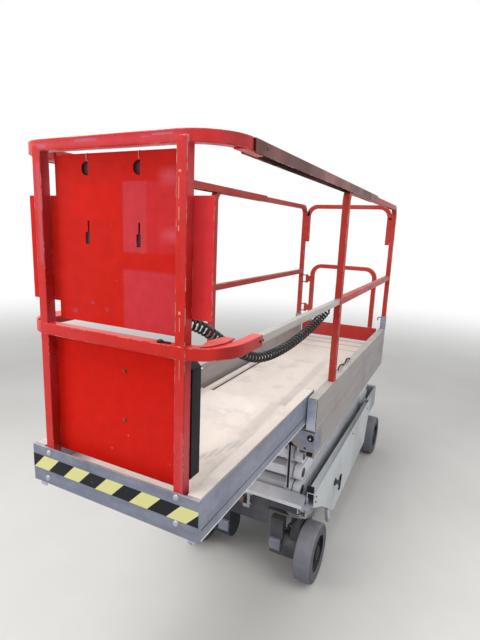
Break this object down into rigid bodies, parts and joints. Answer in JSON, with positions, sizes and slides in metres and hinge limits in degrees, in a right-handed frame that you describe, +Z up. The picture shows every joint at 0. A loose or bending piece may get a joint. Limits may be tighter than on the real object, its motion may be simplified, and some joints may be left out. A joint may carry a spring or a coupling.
{
  "type": "scissor lift",
  "caption": "Narrow electric scissor lift with red guard rails, roll-out deck, folded scissor stack, steered front wheels and hazard-striped front plate.",
  "frame": {"origin": "ground level, middle of the overall length and width", "axes": "+X the machine's side with the control cord, -Y the steered end with the roll-out deck, +Z up"},
  "size_m": [0.8, 3.085, 2.17],
  "materials": {
    "red_paint": "worn satin",
    "faded_red": "faded matt",
    "arm_paint": "worn satin",
    "chassis_paint": "worn satin",
    "cover_paint": "worn satin",
    "panel_aluminium": "dusty satin",
    "deck_steel": "dusty matt",
    "galvanised": "galvanised",
    "bare_steel": "bare",
    "dark_steel": "satin",
    "rod_chrome": "polished",
    "tyre_rubber": "dusty matt",
    "black_plastic": "matt",
    "cord_rubber": "matt"
  },
  "bodies": {
    "chassis": {"chassis_tub": "chassis_paint", "chassis_floor": "chassis_paint", "track_right": "chassis_paint", "track_left": "chassis_paint", "front_cross_member": "chassis_paint", "front_apron": "dark_steel", "rear_cross_member": "chassis_paint", "ladder": "chassis_paint"},
    "steer_left": {"knuckle_left": "dark_steel"},
    "steer_right": {"knuckle_right": "dark_steel"},
    "tie_bar": {"tie_rod": "dark_steel"},
    "wheel_fl": {"wheel_front_left": "tyre_rubber"},
    "wheel_fr": {"wheel_front_right": "tyre_rubber"},
    "wheel_rl": {"wheel_rear_left": "tyre_rubber"},
    "wheel_rr": {"wheel_rear_right": "tyre_rubber"},
    "barrel": {"lift_barrel": "dark_steel"},
    "rod": {"lift_rod": "rod_chrome"},
    "tray_l": {"tray_left": "cover_paint", "tray_load_left": "black_plastic"},
    "tray_r": {"tray_right": "cover_paint", "tray_load_right": "black_plastic"},
    "platform": {"platform_deck": "deck_steel", "side_panel_left": "panel_aluminium", "side_panel_right": "panel_aluminium", "guard_rail_left": "red_paint", "guard_rail_right": "red_paint", "rear_arch": "red_paint", "curly_cord": "cord_rubber"},
    "gate_leaf": {"gate": "red_paint"},
    "extension": {"rollout_deck": "deck_steel", "side_beam_left": "galvanised", "side_beam_right": "galvanised", "toe_plate": "galvanised", "end_frame": "red_paint", "upper_sheet": "red_paint", "lower_sheet": "red_paint", "document_box": "black_plastic", "control_socket": "black_plastic", "top_slide_left": "faded_red", "top_slide_right": "faded_red", "mid_slide_left": "bare_steel", "mid_slide_right": "bare_steel"},
    "inner_1": {"inner_arms_1": "arm_paint"},
    "outer_1": {"outer_arms_1": "arm_paint"},
    "inner_2": {"inner_arms_2": "arm_paint"},
    "outer_2": {"outer_arms_2": "arm_paint"},
    "inner_3": {"inner_arms_3": "arm_paint"},
    "outer_3": {"outer_arms_3": "arm_paint"},
    "inner_4": {"inner_arms_4": "arm_paint"},
    "outer_4": {"outer_arms_4": "arm_paint"}
  },
  "joints": [
    {"name": "steer", "type": "hinge", "parent": "chassis", "child": "steer_left", "pos_m": [-0.27, -0.3375, 0.405], "axis": [0, 0, 1], "range_deg": [-35, 35]},
    {"name": "steer_right", "type": "hinge", "parent": "chassis", "child": "steer_right", "pos_m": [0.27, -0.3375, 0.405], "axis": [0, 0, 1], "range_deg": [-35, 35]},
    {"name": "tie_rod_pin", "type": "hinge", "parent": "steer_left", "child": "tie_bar", "pos_m": [-0.27, -0.2275, 0.2715], "axis": [0, 0, 1], "range_deg": [-35, 35]},
    {"name": "spin_front_left", "type": "hinge", "parent": "steer_left", "child": "wheel_fl", "pos_m": [-0.35, -0.3375, 0.1615], "axis": [1, 0, 0], "continuous": true},
    {"name": "spin_front_right", "type": "hinge", "parent": "steer_right", "child": "wheel_fr", "pos_m": [0.35, -0.3375, 0.1615], "axis": [1, 0, 0], "continuous": true},
    {"name": "spin_rear_left", "type": "hinge", "parent": "chassis", "child": "wheel_rl", "pos_m": [-0.35, 1.381, 0.1615], "axis": [1, 0, 0], "continuous": true},
    {"name": "spin_rear_right", "type": "hinge", "parent": "chassis", "child": "wheel_rr", "pos_m": [0.35, 1.381, 0.1615], "axis": [1, 0, 0], "continuous": true},
    {"name": "fold", "type": "hinge", "parent": "chassis", "child": "inner_1", "pos_m": [0, 1.2575, 0.475], "axis": [-1, 0, 0], "range_deg": [0, 46]},
    {"name": "cross_1", "type": "hinge", "parent": "inner_1", "child": "outer_1", "pos_m": [0, 0.41899, 0.525], "axis": [-1, 0, 0], "range_deg": [-92, 0]},
    {"name": "link_1", "type": "hinge", "parent": "outer_1", "child": "inner_2", "pos_m": [0, 1.2575, 0.575], "axis": [-1, 0, 0], "range_deg": [0, 92]},
    {"name": "cross_2", "type": "hinge", "parent": "inner_2", "child": "outer_2", "pos_m": [0, 0.41899, 0.625], "axis": [-1, 0, 0], "range_deg": [-92, 0]},
    {"name": "link_2", "type": "hinge", "parent": "outer_2", "child": "inner_3", "pos_m": [0, 1.2575, 0.675], "axis": [-1, 0, 0], "range_deg": [0, 92]},
    {"name": "cross_3", "type": "hinge", "parent": "inner_3", "child": "outer_3", "pos_m": [0, 0.41899, 0.725], "axis": [-1, 0, 0], "range_deg": [-92, 0]},
    {"name": "link_3", "type": "hinge", "parent": "outer_3", "child": "inner_4", "pos_m": [0, 1.2575, 0.775], "axis": [-1, 0, 0], "range_deg": [0, 92]},
    {"name": "cross_4", "type": "hinge", "parent": "inner_4", "child": "outer_4", "pos_m": [0, 0.41899, 0.825], "axis": [-1, 0, 0], "range_deg": [-92, 0]},
    {"name": "platform_pivot", "type": "hinge", "parent": "outer_4", "child": "platform", "pos_m": [0, 1.2575, 0.875], "axis": [-1, 0, 0], "range_deg": [0, 46]},
    {"name": "barrel_pin", "type": "hinge", "parent": "inner_1", "child": "barrel", "pos_m": [0, -0.19991, 0.5619], "axis": [-1, 0, 0], "range_deg": [-105.71, 0]},
    {"name": "rod_slide", "type": "slide", "parent": "barrel", "child": "rod", "axis": [0, 0.9941, 0.1081], "range_m": [0, 0.4757]},
    {"name": "tray_left_hinge", "type": "hinge", "parent": "chassis", "child": "tray_l", "pos_m": [-0.372, 0.9695, 0.592], "axis": [0, 0, -1], "range_deg": [0, 80]},
    {"name": "tray_right_hinge", "type": "hinge", "parent": "chassis", "child": "tray_r", "pos_m": [0.372, 0.9695, 0.592], "axis": [0, 0, 1], "range_deg": [0, 80]},
    {"name": "gate_hinge", "type": "hinge", "parent": "platform", "child": "gate_leaf", "pos_m": [-0.32, 1.3235, 1.395], "axis": [0, 0, -1], "range_deg": [0, 90]},
    {"name": "deck_slide", "type": "slide", "parent": "platform", "child": "extension", "axis": [0, 1, 0], "range_m": [0, 0.9], "deforming": ["curly_cord"]}
  ],
  "couplings": [
    {"joint": "steer_right", "follows": "steer", "ratio": 1},
    {"joint": "tie_rod_pin", "follows": "steer", "ratio": -1},
    {"joint": "cross_1", "follows": "fold", "ratio": -2},
    {"joint": "link_1", "follows": "fold", "ratio": 2},
    {"joint": "cross_2", "follows": "fold", "ratio": -2},
    {"joint": "link_2", "follows": "fold", "ratio": 2},
    {"joint": "cross_3", "follows": "fold", "ratio": -2},
    {"joint": "link_3", "follows": "fold", "ratio": 2},
    {"joint": "cross_4", "follows": "fold", "ratio": -2},
    {"joint": "platform_pivot", "follows": "fold", "ratio": 1},
    {"joint": "barrel_pin", "follows": "fold", "ratio": -2.2969},
    {"joint": "rod_slide", "follows": "fold", "m_per_rad": 0.5919}
  ]
}
